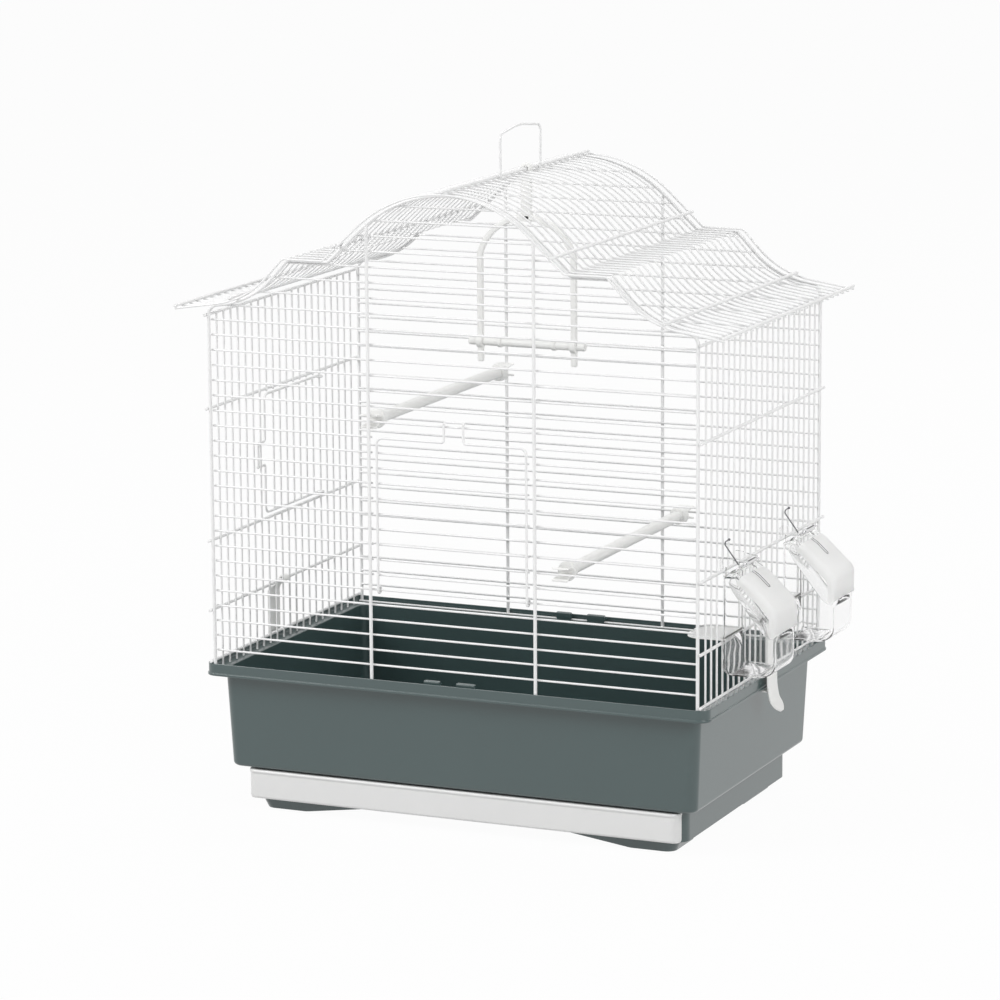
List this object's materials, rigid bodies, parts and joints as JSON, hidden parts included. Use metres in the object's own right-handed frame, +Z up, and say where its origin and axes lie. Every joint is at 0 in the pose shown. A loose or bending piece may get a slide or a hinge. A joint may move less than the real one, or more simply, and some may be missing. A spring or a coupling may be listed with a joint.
{
  "type": "bird cage",
  "caption": "Wire bird cage with a bell-shaped roof on a deep plastic base with a slide-out drawer, hinged doors, a swing, perches and clip-on feeders.",
  "frame": {"origin": "middle of the part's box, on the surface that the feet stand on", "axes": "+Z up, +X to the side with the feeders, -Y the front with the large door and the drawer"},
  "size_m": [0.579, 0.3496, 0.6519],
  "materials": {
    "white_wire": "gloss",
    "base_plastic": "satin",
    "drawer_plastic": "gloss",
    "white_plastic": "satin",
    "clear_plastic": "clear",
    "bright_steel": "polished"
  },
  "bodies": {
    "cage": {"tub": "base_plastic", "plinth": "base_plastic", "front_panel_frame": "white_wire", "front_panel_wires": "white_wire", "back_panel_frame": "white_wire", "back_panel_wires": "white_wire", "left_panel": "white_wire", "right_panel": "white_wire", "roof_wires": "white_wire", "roof_rods": "white_wire", "perch_high": "white_plastic", "perch_high_back_end": "white_plastic", "perch_high_front_end": "white_plastic", "perch_low": "white_plastic", "perch_low_back_end": "white_plastic", "perch_low_front_end": "white_plastic", "feeder_front_cup": "clear_plastic", "feeder_front_roller": "bright_steel", "feeder_front_hook": "bright_steel", "feeder_rear_cup": "clear_plastic", "feeder_rear_roller": "bright_steel", "feeder_rear_hook": "bright_steel"},
    "drawer": {"drawer_pan": "base_plastic", "drawer_front": "drawer_plastic"},
    "front_door": {"front_door": "white_wire"},
    "side_door": {"side_door": "white_wire"},
    "handle": {"handle": "white_wire"},
    "swing": {"swing_frame": "white_plastic", "swing_perch": "white_plastic"},
    "feeder_front_lid": {"feeder_front_lid": "clear_plastic"},
    "feeder_rear_lid": {"feeder_rear_lid": "clear_plastic"},
    "clip_left": {"clip_left": "white_plastic"},
    "clip_right": {"clip_right": "white_plastic"}
  },
  "joints": [
    {"name": "drawer_slide", "type": "slide", "parent": "cage", "child": "drawer", "axis": [0, -1, 0], "range_m": [0, 0.25]},
    {"name": "front_door_hinge", "type": "hinge", "parent": "cage", "child": "front_door", "pos_m": [-0.01335, -0.15855, 0.23], "axis": [1, 0, 0], "range_deg": [0, 155]},
    {"name": "side_door_hinge", "type": "hinge", "parent": "cage", "child": "side_door", "pos_m": [-0.25926, 0.072, 0.327], "axis": [0, 0, -1], "range_deg": [0, 155]},
    {"name": "handle_hinge", "type": "hinge", "parent": "cage", "child": "handle", "pos_m": [-0.01335, 0, 0.6066], "axis": [0, 1, 0], "range_deg": [-90, 90]},
    {"name": "swing_hinge", "type": "hinge", "parent": "cage", "child": "swing", "pos_m": [-0.01335, 0.0216, 0.6066], "axis": [0, 1, 0], "range_deg": [-30, 30]},
    {"name": "feeder_front_lid_hinge", "type": "hinge", "parent": "cage", "child": "feeder_front_lid", "pos_m": [0.25365, -0.0864, 0.2695], "axis": [0, -1, 0], "range_deg": [0, 70]},
    {"name": "feeder_rear_lid_hinge", "type": "hinge", "parent": "cage", "child": "feeder_rear_lid", "pos_m": [0.25365, 0.072, 0.2695], "axis": [0, -1, 0], "range_deg": [0, 70]},
    {"name": "clip_right_hinge", "type": "hinge", "parent": "cage", "child": "clip_right", "pos_m": [0.23505, -0.0072, 0.1965], "axis": [0, -1, 0], "range_deg": [0, 60]},
    {"name": "clip_left_hinge", "type": "hinge", "parent": "cage", "child": "clip_left", "pos_m": [-0.26176, -0.0072, 0.1965], "axis": [0, 1, 0], "range_deg": [0, 60]}
  ]
}
